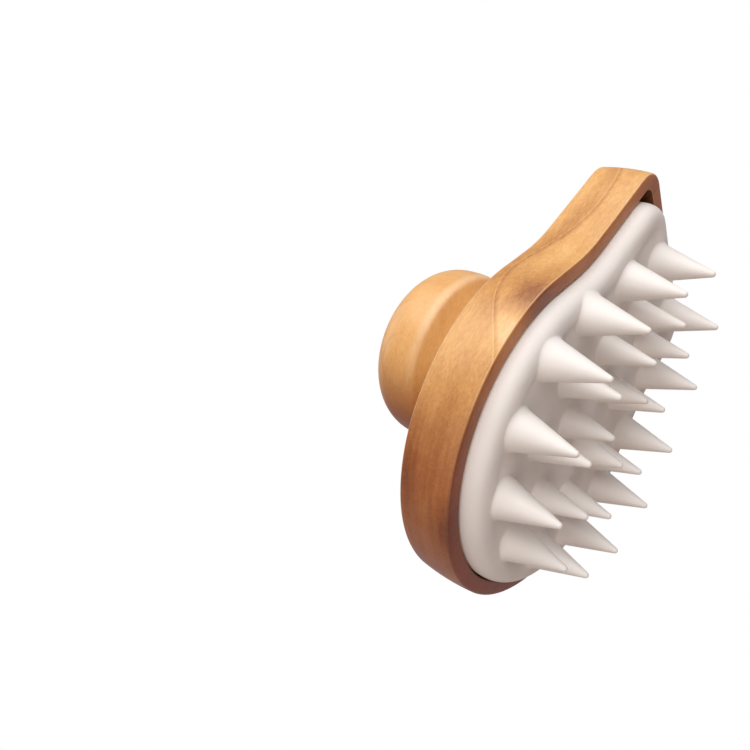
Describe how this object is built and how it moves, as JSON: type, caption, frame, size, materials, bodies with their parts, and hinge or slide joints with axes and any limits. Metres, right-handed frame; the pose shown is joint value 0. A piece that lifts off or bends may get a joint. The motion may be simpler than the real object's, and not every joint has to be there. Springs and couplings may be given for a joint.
{
  "type": "scalp massager brush",
  "caption": "Palm-held scalp massager with a round knob on a wooden plate that has a rounded head and a square tail, over a soft silicone base with flexing conical bristles.",
  "frame": {"origin": "centre of the plate's outline, on the surface that the longest bristle tips stand on", "axes": "+Z from the bristles up to the knob, +Y from the round head to the square tail, +X across the plate"},
  "size_m": [0.0774, 0.0942, 0.0643],
  "materials": {
    "plate_wood": "satin lacquered honey-brown wood, streaky grain along the tail",
    "knob_wood": "satin lacquered pale yellow maple, fine straight grain",
    "silicone": "matte warm white moulded silicone",
    "screw_steel": "bright zinc-plated steel",
    "adhesive": "pale translucent adhesive film"
  },
  "bodies": {
    "brush": {"backing_plate": "plate_wood", "grip_knob": "knob_wood", "knob_screw": "screw_steel", "pad_adhesive": "adhesive", "bristle_base": "silicone"},
    "bristle_01": {"bristle_01": "silicone"},
    "bristle_02": {"bristle_02": "silicone"},
    "bristle_03": {"bristle_03": "silicone"},
    "bristle_04": {"bristle_04": "silicone"},
    "bristle_05": {"bristle_05": "silicone"},
    "bristle_06": {"bristle_06": "silicone"},
    "bristle_07": {"bristle_07": "silicone"},
    "bristle_08": {"bristle_08": "silicone"},
    "bristle_09": {"bristle_09": "silicone"},
    "bristle_10": {"bristle_10": "silicone"},
    "bristle_11": {"bristle_11": "silicone"},
    "bristle_12": {"bristle_12": "silicone"},
    "bristle_13": {"bristle_13": "silicone"},
    "bristle_14": {"bristle_14": "silicone"},
    "bristle_15": {"bristle_15": "silicone"},
    "bristle_16": {"bristle_16": "silicone"},
    "bristle_17": {"bristle_17": "silicone"},
    "bristle_18": {"bristle_18": "silicone"},
    "bristle_19": {"bristle_19": "silicone"},
    "bristle_20": {"bristle_20": "silicone"},
    "bristle_21": {"bristle_21": "silicone"},
    "bristle_22": {"bristle_22": "silicone"},
    "bristle_23": {"bristle_23": "silicone"},
    "bristle_24": {"bristle_24": "silicone"},
    "bristle_25": {"bristle_25": "silicone"}
  },
  "joints": [
    {"name": "bristle_01_flex", "type": "hinge", "parent": "brush", "child": "bristle_01", "pos_m": [-0.02416, 0.008, 0.0128], "axis": [1, 0, 0], "range_deg": [-15, 15], "stiffness_Nm_per_rad": 0.04},
    {"name": "bristle_02_flex", "type": "hinge", "parent": "brush", "child": "bristle_02", "pos_m": [-0.0279, -0.00595, 0.0128], "axis": [1, 0, 0], "range_deg": [-15, 15], "stiffness_Nm_per_rad": 0.04},
    {"name": "bristle_03_flex", "type": "hinge", "parent": "brush", "child": "bristle_03", "pos_m": [-0.02416, -0.0199, 0.0128], "axis": [1, 0, 0], "range_deg": [-15, 15], "stiffness_Nm_per_rad": 0.04},
    {"name": "bristle_04_flex", "type": "hinge", "parent": "brush", "child": "bristle_04", "pos_m": [-0.01395, -0.03011, 0.0128], "axis": [1, 0, 0], "range_deg": [-15, 15], "stiffness_Nm_per_rad": 0.04},
    {"name": "bristle_05_flex", "type": "hinge", "parent": "brush", "child": "bristle_05", "pos_m": [0, -0.03385, 0.0128], "axis": [1, 0, 0], "range_deg": [-15, 15], "stiffness_Nm_per_rad": 0.04},
    {"name": "bristle_06_flex", "type": "hinge", "parent": "brush", "child": "bristle_06", "pos_m": [0.01395, -0.03011, 0.0128], "axis": [1, 0, 0], "range_deg": [-15, 15], "stiffness_Nm_per_rad": 0.04},
    {"name": "bristle_07_flex", "type": "hinge", "parent": "brush", "child": "bristle_07", "pos_m": [0.02416, -0.0199, 0.0128], "axis": [1, 0, 0], "range_deg": [-15, 15], "stiffness_Nm_per_rad": 0.04},
    {"name": "bristle_08_flex", "type": "hinge", "parent": "brush", "child": "bristle_08", "pos_m": [0.0279, -0.00595, 0.0128], "axis": [1, 0, 0], "range_deg": [-15, 15], "stiffness_Nm_per_rad": 0.04},
    {"name": "bristle_09_flex", "type": "hinge", "parent": "brush", "child": "bristle_09", "pos_m": [0.02416, 0.008, 0.0128], "axis": [1, 0, 0], "range_deg": [-15, 15], "stiffness_Nm_per_rad": 0.04},
    {"name": "bristle_10_flex", "type": "hinge", "parent": "brush", "child": "bristle_10", "pos_m": [-0.0175, 0.02245, 0.0128], "axis": [1, 0, 0], "range_deg": [-15, 15], "stiffness_Nm_per_rad": 0.04},
    {"name": "bristle_11_flex", "type": "hinge", "parent": "brush", "child": "bristle_11", "pos_m": [0.0175, 0.02245, 0.0128], "axis": [1, 0, 0], "range_deg": [-15, 15], "stiffness_Nm_per_rad": 0.04},
    {"name": "bristle_12_flex", "type": "hinge", "parent": "brush", "child": "bristle_12", "pos_m": [-0.0095, 0.03475, 0.0128], "axis": [1, 0, 0], "range_deg": [-15, 15], "stiffness_Nm_per_rad": 0.04},
    {"name": "bristle_13_flex", "type": "hinge", "parent": "brush", "child": "bristle_13", "pos_m": [0.0095, 0.03475, 0.0128], "axis": [1, 0, 0], "range_deg": [-15, 15], "stiffness_Nm_per_rad": 0.04},
    {"name": "bristle_14_flex", "type": "hinge", "parent": "brush", "child": "bristle_14", "pos_m": [-0.01635, -0.00307, 0.0128], "axis": [1, 0, 0], "range_deg": [-15, 15], "stiffness_Nm_per_rad": 0.04},
    {"name": "bristle_15_flex", "type": "hinge", "parent": "brush", "child": "bristle_15", "pos_m": [-0.01272, -0.01662, 0.0128], "axis": [1, 0, 0], "range_deg": [-15, 15], "stiffness_Nm_per_rad": 0.04},
    {"name": "bristle_16_flex", "type": "hinge", "parent": "brush", "child": "bristle_16", "pos_m": [0, -0.02255, 0.0128], "axis": [1, 0, 0], "range_deg": [-15, 15], "stiffness_Nm_per_rad": 0.04},
    {"name": "bristle_17_flex", "type": "hinge", "parent": "brush", "child": "bristle_17", "pos_m": [0.01272, -0.01662, 0.0128], "axis": [1, 0, 0], "range_deg": [-15, 15], "stiffness_Nm_per_rad": 0.04},
    {"name": "bristle_18_flex", "type": "hinge", "parent": "brush", "child": "bristle_18", "pos_m": [0.01635, -0.00307, 0.0128], "axis": [1, 0, 0], "range_deg": [-15, 15], "stiffness_Nm_per_rad": 0.04},
    {"name": "bristle_19_flex", "type": "hinge", "parent": "brush", "child": "bristle_19", "pos_m": [-0.0094, 0.01015, 0.0128], "axis": [1, 0, 0], "range_deg": [-15, 15], "stiffness_Nm_per_rad": 0.04},
    {"name": "bristle_20_flex", "type": "hinge", "parent": "brush", "child": "bristle_20", "pos_m": [0.0094, 0.01015, 0.0128], "axis": [1, 0, 0], "range_deg": [-15, 15], "stiffness_Nm_per_rad": 0.04},
    {"name": "bristle_21_flex", "type": "hinge", "parent": "brush", "child": "bristle_21", "pos_m": [-0.0057, 0.02305, 0.0128], "axis": [1, 0, 0], "range_deg": [-15, 15], "stiffness_Nm_per_rad": 0.04},
    {"name": "bristle_22_flex", "type": "hinge", "parent": "brush", "child": "bristle_22", "pos_m": [0.0057, 0.02305, 0.0128], "axis": [1, 0, 0], "range_deg": [-15, 15], "stiffness_Nm_per_rad": 0.04},
    {"name": "bristle_23_flex", "type": "hinge", "parent": "brush", "child": "bristle_23", "pos_m": [-0.0061, -0.00715, 0.0128], "axis": [1, 0, 0], "range_deg": [-15, 15], "stiffness_Nm_per_rad": 0.04},
    {"name": "bristle_24_flex", "type": "hinge", "parent": "brush", "child": "bristle_24", "pos_m": [0.0061, -0.00715, 0.0128], "axis": [1, 0, 0], "range_deg": [-15, 15], "stiffness_Nm_per_rad": 0.04},
    {"name": "bristle_25_flex", "type": "hinge", "parent": "brush", "child": "bristle_25", "pos_m": [0, 0.00615, 0.0128], "axis": [1, 0, 0], "range_deg": [-15, 15], "stiffness_Nm_per_rad": 0.04}
  ]
}
